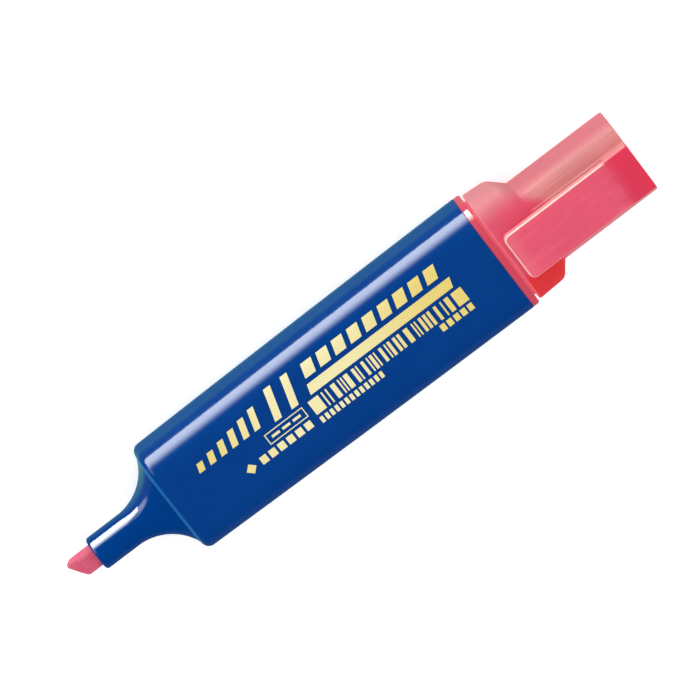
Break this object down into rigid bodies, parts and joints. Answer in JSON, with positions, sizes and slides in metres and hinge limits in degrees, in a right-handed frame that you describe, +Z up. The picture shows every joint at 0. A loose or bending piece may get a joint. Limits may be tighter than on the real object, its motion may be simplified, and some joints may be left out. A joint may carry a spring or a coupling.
{
  "type": "highlighter pen",
  "caption": "Flat highlighter: wide body, trumpet nose with a chisel felt nib, and a cap with a plate clip posted on the tail.",
  "frame": {"origin": "middle of the barrel's flat back face, the face the pen lies on", "axes": "+X along the pen from the nib to the posted cap, +Y across the width, +Z up toward the clip side"},
  "size_m": [0.1447, 0.0276, 0.0197],
  "materials": {
    "body_blue": "gloss",
    "plug_pink": "gloss",
    "cap_pink": "gloss",
    "sleeve_natural": "satin",
    "nib_felt": "matte",
    "reservoir_fibre": "matte",
    "print_gold": "satin",
    "wrap_film": "gloss"
  },
  "bodies": {
    "pen_body": {"barrel": "body_blue", "front_section": "body_blue", "nib": "nib_felt", "ink_reservoir": "reservoir_fibre", "reservoir_wrap": "wrap_film", "tail_plug": "plug_pink"},
    "cap": {"cap_shell": "cap_pink", "cap_inner_sleeve": "sleeve_natural"},
    "clip": {"cap_clip": "cap_pink"}
  },
  "joints": [
    {"name": "cap_slide", "type": "slide", "parent": "pen_body", "child": "cap", "axis": [1, 0, 0], "range_m": [0, 0.04]},
    {"name": "clip_flex", "type": "hinge", "parent": "cap", "child": "clip", "pos_m": [0.0715, 0, 0.0197], "axis": [0, 1, 0], "range_deg": [0, 6]}
  ]
}
